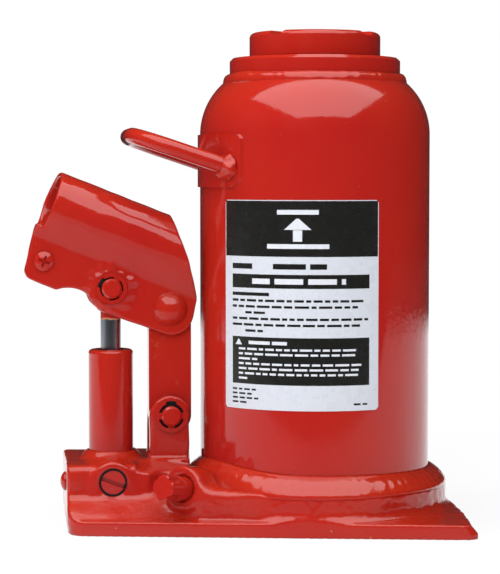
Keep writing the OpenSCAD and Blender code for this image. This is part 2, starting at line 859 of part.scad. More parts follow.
base();
reservoir_tube();
base_weld_bead();
top_weld_bead();
top_collar();
ram_rod_seal();
ram_wiper();
pressure_cylinder();
cylinder_gasket();
label();
filler_plug();
carry_handle();
handle_strap();
handle_welds();
pump_cylinder();
pump_cylinder_gasket();
relief_plug();
relief_plug_seal();
relief_screw();
relief_spring();
relief_ball();
passage_plug();
suction_ball();
suction_strainer();
discharge_ball();
discharge_spring();
discharge_retainer();
release_screw();
release_o_ring();
release_ball();
link_lower_pin();
lower_pin_clips();
link_bar();
handle_socket();
link_upper_rivet();
plunger_pin();
plunger_pin_clips();
clamp_screw();
clamp_nut();
pump_plunger();
plunger_o_ring();
plunger_backup_ring();
ram();
ram_piston();
ram_cup_seal();
seal_washer();
piston_retaining_ring();
screw_stop_ring();
extension_screw();
saddle();
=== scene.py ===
import json
import math
import random

import bpy
import numpy as np
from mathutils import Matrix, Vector, noise


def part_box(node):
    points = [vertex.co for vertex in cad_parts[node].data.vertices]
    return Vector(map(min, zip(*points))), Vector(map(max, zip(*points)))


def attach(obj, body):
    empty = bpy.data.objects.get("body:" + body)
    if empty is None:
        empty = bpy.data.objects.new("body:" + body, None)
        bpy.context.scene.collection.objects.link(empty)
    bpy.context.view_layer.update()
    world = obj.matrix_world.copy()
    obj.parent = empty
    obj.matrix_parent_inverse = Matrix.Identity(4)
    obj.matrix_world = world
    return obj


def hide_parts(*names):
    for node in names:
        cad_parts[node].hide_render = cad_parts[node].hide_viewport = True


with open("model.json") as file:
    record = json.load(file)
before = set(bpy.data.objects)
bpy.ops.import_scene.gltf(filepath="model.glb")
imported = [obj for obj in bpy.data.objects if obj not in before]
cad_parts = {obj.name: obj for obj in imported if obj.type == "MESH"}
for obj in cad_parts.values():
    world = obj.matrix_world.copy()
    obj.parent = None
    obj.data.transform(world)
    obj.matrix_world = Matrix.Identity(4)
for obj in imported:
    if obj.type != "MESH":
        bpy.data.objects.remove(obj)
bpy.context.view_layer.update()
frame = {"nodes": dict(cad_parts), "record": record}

# Looks of a welded hydraulic bottle jack. Metres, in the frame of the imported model: the ram's axis is Z,
# the pump lies towards -X and the label faces -Y.

NODES = frame["nodes"]
MM = 0.001


def node_box(name):
    """Lowest and highest corner of a CAD node as two vectors."""
    low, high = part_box(name)
    return Vector(low), Vector(high)


TUBE_R = node_box("reservoir_tube")[1].x
SEAT_TOP = node_box("base_weld_bead")[0].z
BEAD_TOP = node_box("base_weld_bead")[1].z
COLLAR_R = node_box("top_collar")[1].x
COLLAR_TOP = node_box("top_collar")[1].z
SCREW_R = node_box("extension_screw")[1].x


# ---------------------------------------------------------------- materials

class Shader:
    """A node material with a Principled surface and short ways to add the nodes it needs."""

    def __init__(self, name):
        self.material = bpy.data.materials.new(name)
        self.material.use_nodes = True
        self.tree = self.material.node_tree
        self.tree.nodes.clear()
        self.surface = self.add("ShaderNodeBsdfPrincipled")
        output = self.add("ShaderNodeOutputMaterial")
        self.tree.links.new(self.surface.outputs["BSDF"], output.inputs["Surface"])
        self.place = self.add("ShaderNodeTexCoord").outputs["Object"]

    def add(self, kind, **settings):
        node = self.tree.nodes.new(kind)
        for key, value in settings.items():
            setattr(node, key, value)
        return node

    def feed(self, socket, value):
        """Links a socket to an output, or sets its value."""
        if isinstance(value, bpy.types.NodeSocket):
            self.tree.links.new(value, socket)
        else:
            socket.default_value = value

    def set(self, **values):
        for name, value in values.items():
            self.feed(self.surface.inputs[name.replace("_", " ")], value)

    def noise(self, scale, detail=2.0, roughness=0.5, place=None, distortion=0.0):
        node = self.add("ShaderNodeTexNoise")
        self.feed(node.inputs["Vector"], place or self.place)
        node.inputs["Scale"].default_value = scale
        node.inputs["Detail"].default_value = detail
        node.inputs["Roughness"].default_value = roughness
        node.inputs["Distortion"].default_value = distortion
        return node.outputs["Fac"]

    def stretched(self, x, y, z):
        """Object coordinates scaled along each axis."""
        node = self.add("ShaderNodeMapping")
        self.feed(node.inputs["Vector"], self.place)
        node.inputs["Scale"].default_value = (x, y, z)
        return node.outputs["Vector"]

    def remap(self, value, low, high, to_low=0.0, to_high=1.0):
        node = self.add("ShaderNodeMapRange", clamp=True)
        for socket, v in zip(node.inputs, (value, low, high, to_low, to_high)):
            self.feed(socket, v)
        return node.outputs["Result"]

    def math(self, operation, a, b=0.0):
        node = self.add("ShaderNodeMath", operation=operation)
        self.feed(node.inputs[0], a)
        self.feed(node.inputs[1], b)
        return node.outputs["Value"]

    def mix(self, factor, a, b):
        node = self.add("ShaderNodeMix", data_type="RGBA")
        self.feed(node.inputs["Factor"], factor)
        self.feed(node.inputs["A"], a)
        self.feed(node.inputs["B"], b)
        return node.outputs["Result"]

    def axis(self, name):
        node = self.add("ShaderNodeSeparateXYZ")
        self.feed(node.inputs["Vector"], self.place)
        return node.outputs[name]

    def edges(self, low=0.53, high=0.62):
        """1 on sharp outer edges, 0 elsewhere."""
        return self.remap(self.add("ShaderNodeNewGeometry").outputs["Pointiness"], low, high)

    def bump(self, height, distance, strength=1.0, under=None):
        node = self.add("ShaderNodeBump")
        node.inputs["Distance"].default_value = distance
        node.inputs["Strength"].default_value = strength
        self.feed(node.inputs["Height"], height)
        if under is not None:
            self.feed(node.inputs["Normal"], under)
        return node.outputs["Normal"]


RED = (0.353, 0.0108, 0.0092, 1)
# darker red for painted shade in creases and concave corners
RED_HOLLOW_SHADE = (0.280, 0.0080, 0.0085, 1)
# warmer red, reached by random tone and by painted top light on faces that point up
RED_TONE_AND_TOP_LIGHT = (0.400, 0.0200, 0.0068, 1)
PRIMER = (0.42, 0.36, 0.10, 1)
BARE = (0.20, 0.17, 0.15, 1)


def enamel(name, cast=0.0, chips=0.0, tone=0.0):
    """Thick glossy red enamel. cast is how much rough casting shows, chips how many specks are off."""
    s = Shader(name)
    shade = s.remap(s.noise(14, 3), 0.3, 0.7, 0.0 + tone, 0.6 + tone)
    # painted top light: faces that point up are mixed towards the warmer, lighter red
    upward = s.add("ShaderNodeSeparateXYZ")
    s.feed(upward.inputs["Vector"], s.add("ShaderNodeNewGeometry").outputs["Normal"])
    shade = s.math("ADD", shade, s.remap(upward.outputs["Z"], 0.1, 0.9, 0.0, 0.5))
    colour = s.mix(s.remap(shade, 0.0, 1.0), RED, RED_TONE_AND_TOP_LIGHT)
    # painted shade: concave places (low pointiness) are mixed towards the darker red
    hollow_shade_mask = s.remap(s.add("ShaderNodeNewGeometry").outputs["Pointiness"], 0.40, 0.49)
    colour = s.mix(hollow_shade_mask, RED_HOLLOW_SHADE, colour)
    speck = s.remap(s.noise(420, 3, 0.6), 0.745 - 0.02 * chips, 0.765 - 0.02 * chips)
    worn = s.math("MULTIPLY", s.edges(0.58, 0.68), s.remap(s.noise(160, 4, 0.7), 0.62, 0.68))
    off = s.math("MAXIMUM", s.math("MULTIPLY", speck, chips), s.math("MULTIPLY", worn, chips))
    colour = s.mix(off, colour, s.mix(s.remap(s.noise(90), 0.45, 0.55), PRIMER, BARE))
    gloss = s.remap(s.noise(55, 3), 0.3, 0.7, 0.07, 0.13 + 0.10 * cast)
    gloss = s.math("ADD", gloss, s.math("MULTIPLY", off, 0.4))
    peel = s.bump(s.noise(330, 2), 0.00018, 0.25)
    runs = s.bump(s.noise(1.0, 3, place=s.stretched(300, 300, 48)), 0.00045, 0.22, peel)
    sag = s.bump(s.noise(1.0, 2, place=s.stretched(60, 60, 18)), 0.0009, 0.22, runs)
    normal = s.bump(s.noise(430, 5, 0.65), 0.0007, 0.40 * cast, sag) if cast else sag
    s.set(Base_Color=colour, Roughness=gloss, Coat_Weight=0.35, Coat_Roughness=0.03, Coat_IOR=1.5,
          Normal=normal, Specular_IOR_Level=0.45)
    return s.material


def steel(name, colour, roughness, lines=(0, 0, 0)):
    """Machined steel; lines stretches its fine scratches along each axis."""
    s = Shader(name)
    grain = s.noise(1.0, 4, 0.6, place=s.stretched(*lines) if any(lines) else s.stretched(300, 300, 300))
    stain = s.remap(s.noise(60, 4, 0.6), 0.35, 0.7)
    dark = tuple(c * 0.55 for c in colour[:3]) + (1,)
    s.set(Base_Color=s.mix(stain, colour, s.mix(grain, dark, colour)), Metallic=1.0,
          Roughness=s.remap(grain, 0.2, 0.8, roughness - 0.08, roughness + 0.12),
          Normal=s.bump(grain, 0.00008, 0.6))
    return s.material


def rubber(name):
    s = Shader(name)
    dust = s.remap(s.noise(180, 4, 0.7), 0.55, 0.75)
    s.set(Base_Color=s.mix(dust, (0.006, 0.006, 0.007, 1), (0.022, 0.021, 0.020, 1)),
          Specular_IOR_Level=0.2, Roughness=s.remap(s.noise(300), 0.3, 0.7, 0.45, 0.65),
          Normal=s.bump(s.noise(1400, 3), 0.0001, 0.5))
    return s.material


def print_film(name, colour, roughness):
    """Printed vinyl: fine mottle, faint scuffs and a slight quilting of the glue under it."""
    s = Shader(name)
    scuff = s.remap(s.noise(1.0, 5, 0.7, place=s.stretched(90, 90, 700)), 0.62, 0.8, 0.0, 0.35)
    worn = tuple(min(1.0, c * 0.86 + 0.03) for c in colour[:3]) + (1,)
    s.set(Base_Color=s.mix(scuff, colour, worn),
          Roughness=s.remap(s.noise(200, 3), 0.3, 0.7, roughness, roughness + 0.15),
          Normal=s.bump(s.noise(110, 2), 0.0004, 0.12))
    return s.material


def plunger_finish():
    """Ground steel below, enamel from the eye down to a ragged line on the rod."""
    s = Shader("plunger_finish")
    z = s.axis("Z")
    eye_foot = 0.1005
    ragged = s.math("MULTIPLY", s.math("SUBTRACT", s.noise(260, 3), 0.5), 0.003)
    height = s.math("ADD", z, ragged)
    painted = s.remap(height, eye_foot, eye_foot + 0.00025)
    fringe = s.math("MULTIPLY", s.remap(height, eye_foot - 0.0009, eye_foot - 0.0004),
                    s.math("SUBTRACT", 1.0, painted))
    lines = s.noise(1.0, 4, 0.6, place=s.stretched(900, 900, 60))
    bare = s.mix(lines, (0.30, 0.32, 0.36, 1), (0.62, 0.65, 0.70, 1))
    bare = s.mix(fringe, bare, (0.55, 0.16, 0.04, 1))
    s.set(Base_Color=s.mix(painted, bare, RED),
          Metallic=s.math("SUBTRACT", 1.0, s.math("MAXIMUM", painted, fringe)),
          Roughness=s.remap(painted, 0.0, 1.0, 0.30, 0.16), Coat_Weight=s.math("MULTIPLY", painted, 0.5),
          Coat_Roughness=0.04, Normal=s.bump(lines, 0.00008, 0.5))
    return s.material


MATERIALS = {
    "enamel": enamel("enamel", chips=0.35),
    "cast_paint": enamel("cast_paint", cast=0.55, chips=0.8, tone=0.15),
    "weld_paint": enamel("weld_paint", cast=0.25, chips=0.3, tone=0.2),
    "seal_rubber": rubber("seal_rubber"),
    "copper_gasket": steel("copper_gasket", (0.60, 0.27, 0.15, 1), 0.35),
    "label_film": print_film("label_film", (0.52, 0.545, 0.60, 1), 0.22),
    "white_plastic": print_film("white_plastic", (0.80, 0.78, 0.72, 1), 0.4),
    "bronze": steel("bronze", (0.55, 0.38, 0.16, 1), 0.3),
    "ground_steel": steel("ground_steel", (0.50, 0.52, 0.56, 1), 0.22, lines=(60, 60, 1400)),
    "dark_steel": steel("dark_steel", (0.25, 0.26, 0.28, 1), 0.3),
}
PLUNGER_FINISH = plunger_finish()
INK_BLACK = print_film("ink_black", (0.011, 0.011, 0.010, 1), 0.18)
INK_WHITE = print_film("ink_white", (0.58, 0.60, 0.65, 1), 0.22)
# black for the painted shade in the snap rings' deep gaps
GAP_SHADE_BLACK = rubber("gap_shade_black")


def paint_cad_nodes():
    slots = {part["node"]: part["material_slot"] for part in frame["record"]["subparts"]}
    for name, obj in NODES.items():
        material = PLUNGER_FINISH if name == "pump_plunger" else MATERIALS[slots[name]]
        for slot in obj.material_slots:
            slot.link = "OBJECT"
            slot.material = material


# ---------------------------------------------------------------- mesh building

def add_piece(name, mesh, body, slot, replaces=(), material=None, smooth=True):
    """Puts a mesh in the scene as a piece that rides on a body."""
    obj = bpy.data.objects.new(name, mesh)
    bpy.context.scene.collection.objects.link(obj)
    mesh.materials.clear()
    mesh.materials.append(material or MATERIALS[slot])
    mesh.shade_smooth()
    if not smooth:
        mark_sharp(mesh)
    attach(obj, body)
    if replaces:
        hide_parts(*replaces)
    return obj


def mark_sharp(mesh):
    """Keeps the edges of a thin plate crisp under smooth shading."""
    normals = {}
    for face in mesh.polygons:
        for key in face.edge_keys:
            normals.setdefault(key, []).append(face.normal)
    for edge in mesh.edges:
        pair = normals[edge.key]
        edge.use_edge_sharp = len(pair) == 2 and pair[0].dot(pair[1]) < 0.8


def mesh_from(name, points, faces):
    mesh = bpy.data.meshes.new(name)
    mesh.from_pydata([tuple(p) for p in points], [], faces)
    mesh.validate()
    mesh.update()
    return mesh


def wrapped_grid(name, points, close_rows=True):
    """Mesh of rings: points[i][k] is ring i's point k. Rings join up into a torus, or end in flat caps."""
    rows, cols = len(points), len(points[0])
    faces = []
    for i in range(rows if close_rows else rows - 1):
        for k in range(cols):
            a, b = i * cols + k, i * cols + (k + 1) % cols
            c, d = (i + 1) % rows * cols + (k + 1) % cols, (i + 1) % rows * cols + k
            faces.append((a, b, c, d))
    if not close_rows:
        faces.append(tuple(reversed(range(cols))))
        faces.append(tuple((rows - 1) * cols + k for k in range(cols)))
    return mesh_from(name, [p for ring in points for p in ring], faces)


def outward(mesh):
    """Turns a closed mesh's faces outward if they point in."""
    mesh.calc_loop_triangles()
    co = np.empty(len(mesh.vertices) * 3)
    mesh.vertices.foreach_get("co", co)
    co = co.reshape(-1, 3)
    tris = np.array([t.vertices for t in mesh.loop_triangles])
    a, b, c = co[tris[:, 0]], co[tris[:, 1]], co[tris[:, 2]]
    if np.einsum("ij,ij->i", a, np.cross(b, c)).sum() < 0:
        mesh.flip_normals()
    return mesh


def arc_points(centre, radius, start, end, steps):
    """Points of an arc, angles in degrees."""
    return [(centre[0] + radius * math.cos(math.radians(start + (end - start) * i / steps)),
             centre[1] + radius * math.sin(math.radians(start + (end - start) * i / steps)))
            for i in range(steps + 1)]


def lathe(name, profile, segments=192):
    """Closed solid of revolution from an outline of (radius, height) that goes all the way round."""
    rings = []
    for i in range(segments):
        angle = 2 * math.pi * i / segments
        rings.append([(r * math.cos(angle), r * math.sin(angle), z) for r, z in profile])
    return outward(wrapped_grid(name, rings))


def coordinates(mesh):
    co = np.empty(len(mesh.vertices) * 3)
    mesh.vertices.foreach_get("co", co)
    return co.reshape(-1, 3)


def smoothed(mesh, passes, strength=0.5, hold=None):
    """Laplacian smoothing. hold is a number from 0 to 1 for each vertex: 1 keeps it where it is."""
    co = coordinates(mesh)
    edges = np.array([e.vertices for e in mesh.edges])
    a, b = edges[:, 0], edges[:, 1]
    count = len(co)
    degree = np.bincount(a, minlength=count) + np.bincount(b, minlength=count)
    move = strength * (1 - (hold if hold is not None else np.zeros(count)))
    for _ in range(passes):
        total = np.stack([np.bincount(a, co[b, k], count) + np.bincount(b, co[a, k], count)
                          for k in range(3)], 1)
        co += move[:, None] * (total / degree[:, None] - co)
    mesh.vertices.foreach_set("co", co.ravel())
    mesh.update()


def remeshed(node, voxel):
    """A voxel remesh of a CAD node, as a new mesh."""
    work = bpy.data.objects.new("work", NODES[node].data.copy())
    bpy.context.scene.collection.objects.link(work)
    remesh = work.modifiers.new("voxels", "REMESH")
    remesh.mode = "VOXEL"
    remesh.voxel_size = voxel
    mesh = bpy.data.meshes.new_from_object(work.evaluated_get(bpy.context.evaluated_depsgraph_get()))
    bpy.data.objects.remove(work)
    mesh.name = node
    return mesh


def roughened(mesh, size, depth, hold=None, seed=0.0):
    """Pushes the surface in and out along its normals by smooth noise."""
    co = coordinates(mesh)
    normals = np.empty(len(co) * 3)
    mesh.vertices.foreach_get("normal", normals)
    normals = normals.reshape(-1, 3)
    push = np.array([noise.noise(Vector(p) / size + Vector((seed, seed, seed))) for p in co]) * depth
    if hold is not None:
        push *= 1 - hold
    mesh.vertices.foreach_set("co", (co + normals * push[:, None]).ravel())
    mesh.update()


def near(co, centre, radius, soft):
    """1 within radius of a point, falling to 0 over soft."""
    gap = np.linalg.norm(co - np.array(centre), axis=1) - radius
    return np.clip(1 - gap / soft, 0, 1)


# ---------------------------------------------------------------- base and welds

def build_base():
    """The casting: CAD shape with cast fillets, softened edges and a slightly uneven skin."""
    voxel = 0.75 * MM
    plate_top, lugs_foot = 9.5 * MM, 34 * MM
    seat_r, web_end = 65.75 * MM, -50 * MM
    web_middle = Vector((-54, -53, 14)) * MM
    mesh = remeshed("base", voxel)
    co = coordinates(mesh)
    z = co[:, 2]
    at_plug = near(co, middle_of("relief_plug_seal"), 7.2 * MM, 1.0 * MM)
    # corners that stay: the plug's rim, the plate's edge, the link lugs and the foot
    hold = at_plug * 0.85
    hold = np.maximum(hold, np.clip((plate_top - z) / (1.5 * MM), 0, 0.8))
    hold = np.maximum(hold, np.clip((z - lugs_foot) / (2 * MM), 0, 0.75))
    hold = np.maximum(hold, np.clip(1 - z / (0.8 * MM), 0, 1))
    smoothed(mesh, 12, 0.5, hold)
    # cast blends round the release boss and beside the link, as (centre, reach) in mm
    for centre, reach in (((-59, -46, 24), 8), ((-50, -50, 21), 6), ((-76, -22, 25), 5)):
        smoothed(mesh, 40, 0.5, 1 - near(co, Vector(centre) * MM, reach * MM, 5 * MM))
    skin = np.maximum(at_plug, np.clip(1 - z / (1 * MM), 0, 1))
    roughened(mesh, 11 * MM, 0.30 * MM, skin)
    # the coarser skin of the seat's wall and the web
    radius = np.linalg.norm(co[:, :2], axis=1)
    wall = np.clip(1 - np.abs(radius - seat_r) / (1.2 * MM), 0, 1) * (co[:, 0] > web_end)
    web = near(co, web_middle, 12 * MM, 6 * MM) * np.clip((z - 8.5 * MM) / (2 * MM), 0, 1)
    roughened(mesh, 3.4 * MM, 0.24 * MM, 1 - np.maximum(wall, web), seed=5.0)
    flare_corner(mesh)
    add_piece("base_casting", mesh, "root", "cast_paint", ["base"])


def flare_corner(mesh):
    """The plate's front corner away from the pump runs out to a low lip, as a worn mould leaves it."""
    corner = Vector((64.5, -74.5, 0)) * MM
    co = coordinates(mesh)
    share = near(co * np.array((1, 1, 0)), corner, 2 * MM, 9 * MM)
    share *= np.clip((6.5 * MM - co[:, 2]) / (4 * MM), 0, 1)
    co[:, 0] += share * 3.2 * MM
    mesh.vertices.foreach_set("co", co.ravel())
    mesh.update()


def weld_ring(name, node, section, hidden, pitch, depth, lumps=()):
    """A weld bead round the Z axis. section(angle) is its outline of (radius, height), whose last `hidden`
    points lie in the parts it joins; pitch and depth are its ripples; lumps are (angle, width, height)."""
    first = section(0.0)
    shown = len(first) - hidden
    mid_r = sum(r for r, _ in first) / len(first)
    mid_z = sum(z for _, z in first) / len(first)
    segments = int(2 * math.pi * mid_r / (0.7 * MM))
    rings = []
    for i in range(segments):
        angle = 2 * math.pi * i / segments
        wobble = noise.noise(Vector((math.cos(angle) * 5, math.sin(angle) * 5, mid_z * 90)))
        ring = []
        for k, (r, z) in enumerate(section(math.degrees(angle))):
            if k < shown:
                across = (k + 0.5) / shown
                crown = math.sin(math.pi * across)
                phase = mid_r * angle / pitch + 0.55 * (2 * across - 1) ** 2 + 0.8 * wobble
                ripple = depth * (0.5 + 0.5 * math.cos(2 * math.pi * phase)) * (0.3 + 0.7 * crown)
                swell = 0.45 * MM * wobble * crown
                for at, width, height in lumps:
                    off = (math.degrees(angle) - at + 180) % 360 - 180
                    swell += height * math.exp(-(off / width) ** 2) * (0.3 + 0.7 * crown)
                away = Vector((r - mid_r + 2 * MM, z - mid_z)).normalized()
                r += (ripple + swell) * away.x
                z += (ripple + swell) * away.y
            ring.append((r * math.cos(angle), r * math.sin(angle), z))
        rings.append(ring)
    mesh = outward(wrapped_grid(name, rings))
    add_piece(name, mesh, "root", "weld_paint", [node])


def hump(angle, at, width):
    """1 at an angle, falling to 0 on both sides. Degrees."""
    return math.exp(-(((angle - at + 180) % 360 - 180) / width) ** 2)


def lower_section(angle):
    """Outline of the lower bead: it climbs where the pump block joins the seat."""
    top = BEAD_TOP + (4.2 * hump(angle, 203, 30) - 1.6 * hump(angle, 350, 45)) * MM
    fall = (top - SEAT_TOP) / 9
    seat = SEAT_TOP - 2.4 * MM
    return [(57.25 * MM, top), (58.6 * MM, top - 0.8 * fall), (60.2 * MM, top - 2 * fall),
            (61.7 * MM, top - 3.4 * fall), (63.0 * MM, top - 4.9 * fall), (64.2 * MM, top - 6.6 * fall),
            (65.3 * MM, top - 8.3 * fall), (65.95 * MM, SEAT_TOP - 0.7 * MM),
            (65.8 * MM, SEAT_TOP - 2 * MM),
            (64 * MM, seat), (57.2 * MM, seat), (57.15 * MM, SEAT_TOP + 3 * MM)]


def upper_section(_angle):
    """Outline of the bead between the tube and the collar, the same at every angle."""
    collar = COLLAR_R + 0.03 * MM
    return [(collar, 220.7 * MM), (43.3 * MM, 220.6 * MM), (44.3 * MM, 220.0 * MM), (45.0 * MM, 218.9 * MM),
            (45.4 * MM, 217.5 * MM), (45.6 * MM, 216.1 * MM), (45.3 * MM, 214.8 * MM),
            (44.4 * MM, 213.9 * MM), (43.3 * MM, 215.2 * MM), (collar, 216.5 * MM)]


def build_welds():
    weld_ring("base_weld", "base_weld_bead", lower_section, hidden=4, pitch=5.6 * MM, depth=0.17 * MM,
              lumps=[(18, 5, 1.4 * MM)])
    weld_ring("top_weld", "top_weld_bead", upper_section, hidden=3, pitch=7.0 * MM, depth=0.22 * MM,
              lumps=[(207, 15, 1.3 * MM)])


def build_handle_welds():
    """A rough fillet of weld round each end of the carry handle."""
    mesh = remeshed("handle_welds", 0.45 * MM)
    smoothed(mesh, 6)
    roughened(mesh, 4 * MM, 1.6 * MM)
    smoothed(mesh, 3)
    add_piece("handle_weld_fillets", mesh, "root", "weld_paint", ["handle_welds"])


# ---------------------------------------------------------------- turned parts

def build_reservoir():
    """The welded tube with its domed shoulder, turned smooth, over the CAD tube's own sizes."""
    shoulder_r = 34 * MM
    shoulder_z = 191 * MM
    wall = 3.5 * MM
    throat = COLLAR_R + 0.1 * MM
    centre = (TUBE_R - shoulder_r, shoulder_z)
    outer_end = math.degrees(math.acos((throat - centre[0]) / shoulder_r))
    inner_end = math.degrees(math.acos((throat - centre[0]) / (shoulder_r - wall)))
    rows = 57
    outside = [(TUBE_R, SEAT_TOP + (shoulder_z - SEAT_TOP) * i / rows) for i in range(rows)]
    profile = outside + arc_points(centre, shoulder_r, 0, outer_end, 26)
    profile += arc_points(centre, shoulder_r - wall, inner_end, 0, 14) + [(TUBE_R - wall, SEAT_TOP)]
    mesh = lathe("reservoir", profile, segments=256)
    add_piece("reservoir", mesh, "root", "enamel", ["reservoir_tube"])


def build_screw_thread():
    """The extension screw with its trapezoid thread and a stop-ring groove."""
    low, high = node_box("extension_screw")
    pitch = 6 * MM
    depth = 1.4 * MM
    groove_z, groove_half, groove_depth = 103 * MM, 0.75 * MM, 1.5 * MM
    around, row_height = 96, 0.5 * MM
    rings = []
    rows = int((high.z - low.z) / row_height)
    for i in range(rows + 1):
        z = low.z + (high.z - low.z) * i / rows
        ring = []
        for k in range(around):
            angle = 2 * math.pi * k / around
            phase = (z / pitch - angle / (2 * math.pi)) % 1.0
            cut = min(1.0, max(0.0, (abs(phase - 0.5) - 0.14) / 0.16))
            plain = z > COLLAR_TOP - 1 * MM or z < low.z + 6 * MM
            r = SCREW_R if plain else SCREW_R - depth * (1 - cut)
            if abs(z - groove_z) < groove_half:
                r = SCREW_R - groove_depth
            ring.append((r * math.cos(angle), r * math.sin(angle), z))
        rings.append(ring)
    mesh = outward(wrapped_grid("screw_thread", rings, close_rows=False))
    add_piece("extension_screw_thread", mesh, "screw", "ground_steel", ["extension_screw"])


def cross_ring(name, body, slot, centre, radii, depth, replaces=(), material=None):
    """A flat ring on a cross pin's axis: centre (x, z), radii (inner, outer), depth (from y, to y)."""
    rings = []
    corners = ((radii[0], depth[0]), (radii[1], depth[0]), (radii[1], depth[1]), (radii[0], depth[1]))
    around = 96
    for i in range(around):
        angle = 2 * math.pi * i / around
        rings.append([(centre[0] + r * math.cos(angle), y, centre[1] + r * math.sin(angle))
                      for r, y in corners])
    add_piece(name, outward(wrapped_grid(name, rings)), body, slot, replaces, material, smooth=False)


def middle_of(node):
    low, high = node_box(node)
    return (low + high) / 2


def build_dark_rings():
    """The rubber ring proud of the relief plug's rim, and thin black rings of painted shade in the snap
    rings' gaps.
    """
    plug = middle_of("relief_plug")
    face = node_box("relief_plug_seal")[0].y
    cross_ring("plug_seal_ring", "root", "seal_rubber", (plug.x, plug.z), (5.79 * MM, 6.72 * MM),
               (face - 0.2 * MM, face + 1 * MM), ["relief_plug_seal"])
    for pin, clips, body in (("link_lower_pin", "lower_pin_clips", "root"),
                             ("plunger_pin", "plunger_pin_clips", "socket")):
        centre = middle_of(pin)
        low, high = node_box(clips)
        reach = (high.x - low.x) / 2 - 0.9 * MM
        # a thin black ring under each clip stands for the shade in the deep gap: painted shade
        for side, face in (("front", low.y + 1.32 * MM), ("back", high.y - 1.32 * MM)):
            inward = 0.3 * MM if side == "front" else -0.3 * MM
            cross_ring(clips + "_gap_shade_" + side, body, "dark_steel", (centre.x, centre.z),
                       (4.92 * MM, reach), (face, face + inward), material=GAP_SHADE_BLACK)


# ---------------------------------------------------------------- socket

def build_socket():
    """The pressed socket: CAD shape with rounded folds and slightly uneven sheet."""
    mesh = remeshed("handle_socket", 0.5 * MM)
    co = coordinates(mesh)
    pin = middle_of("plunger_pin")
    face = co[:, 1] < -7 * MM
    flat = co * np.array((1, 0, 1))
    pin_axis = Vector((pin.x, 0, pin.z))
    beside = near(flat, pin_axis, 10.5 * MM, 5 * MM)
    centre = near(flat, pin_axis, 8.2 * MM, 0.8 * MM)
    soft = face * beside * (1 - centre)
    smoothed(mesh, 8, 0.5, 0.9 * centre)
    smoothed(mesh, 60, 0.5, 1 - soft)
    roughened(mesh, 9 * MM, 0.30 * MM, centre)
    roughened(mesh, 4.5 * MM, 1.1 * MM, 1 - soft, seed=3.0)
    smoothed(mesh, 4, 0.5, 1 - soft)
    add_piece("handle_socket_pressing", mesh, "socket", "enamel", ["handle_socket"])


# ---------------------------------------------------------------- label

LABEL_LEFT = -147.0
LABEL_SWEEP = 80.3
LABEL_LOW = node_box("label")[0].z
LABEL_HIGH = node_box("label")[1].z
LABEL_WIDTH = math.radians(LABEL_SWEEP) * TUBE_R


def label_point(u, v, lift):
    """A point of the label: u from its left edge, v from its foot, lift off the tube."""
    angle = math.radians(LABEL_LEFT) + u / TUBE_R
    r = TUBE_R + lift
    return (r * math.cos(angle), r * math.sin(angle), LABEL_LOW + v)


def bent_plate(outline, lift, thickness):
    """Points and faces of a thin plate that follows the tube. outline is a convex loop of (u, v)."""
    us = sorted({u for u, _ in outline})
    columns = max(2, int((us[-1] - us[0]) / (1.2 * MM)) + 1)
    points, faces = [], []
    for i in range(columns + 1):
        u = us[0] + (us[-1] - us[0]) * i / columns
        crossings = []
        for (u0, v0), (u1, v1) in zip(outline, outline[1:] + outline[:1]):
            if min(u0, u1) - 1e-9 <= u <= max(u0, u1) + 1e-9 and abs(u1 - u0) > 1e-9:
                crossings.append(v0 + (v1 - v0) * (u - u0) / (u1 - u0))
        low, high = min(crossings), max(crossings)
        if high - low < 0.05 * MM:
            high = low + 0.05 * MM
        for v, at in ((low, lift), (high, lift), (high, lift + thickness), (low, lift + thickness)):
            points.append(label_point(u, v, at))
    for i in range(columns):
        for k in range(4):
            faces.append((4 * i + k, 4 * i + (k + 1) % 4, 4 * i + 4 + (k + 1) % 4, 4 * i + 4 + k))
    faces.append((3, 2, 1, 0))
    faces.append(tuple(4 * columns + k for k in range(4)))
    return points, faces


def rectangle(u0, v0, u1, v1, corner=0.0):
    if not corner:
        return [(u0, v0), (u1, v0), (u1, v1), (u0, v1)]
    loop = []
    for cu, cv, start in ((u1 - corner, v0 + corner, -90), (u1 - corner, v1 - corner, 0),
                          (u0 + corner, v1 - corner, 90), (u0 + corner, v0 + corner, 180)):
        loop += arc_points((cu, cv), corner, start, start + 90, 5)
    return loop


def printed(name, outlines, lift, material):
    points, faces = [], []
    for outline in outlines:
        more, quads = bent_plate(outline, lift, 0.03 * MM)
        faces += [tuple(i + len(points) for i in quad) for quad in quads]
        points += more
    mesh = outward(mesh_from(name, points, faces))
    add_piece(name, mesh, "root", "label_film", material=material, smooth=False)


def word_bars(u0, v0, u1, height, rng, words=(2.2, 7.0), gap=1.1):
    """A line of print as plain bars with word gaps."""
    bars, u = [], u0
    while u < u1 - 1.5 * MM:
        end = min(u1, u + rng.uniform(*words) * MM)
        bars.append(rectangle(u, v0, end, v0 + height))
        u = end + gap * MM
    return bars


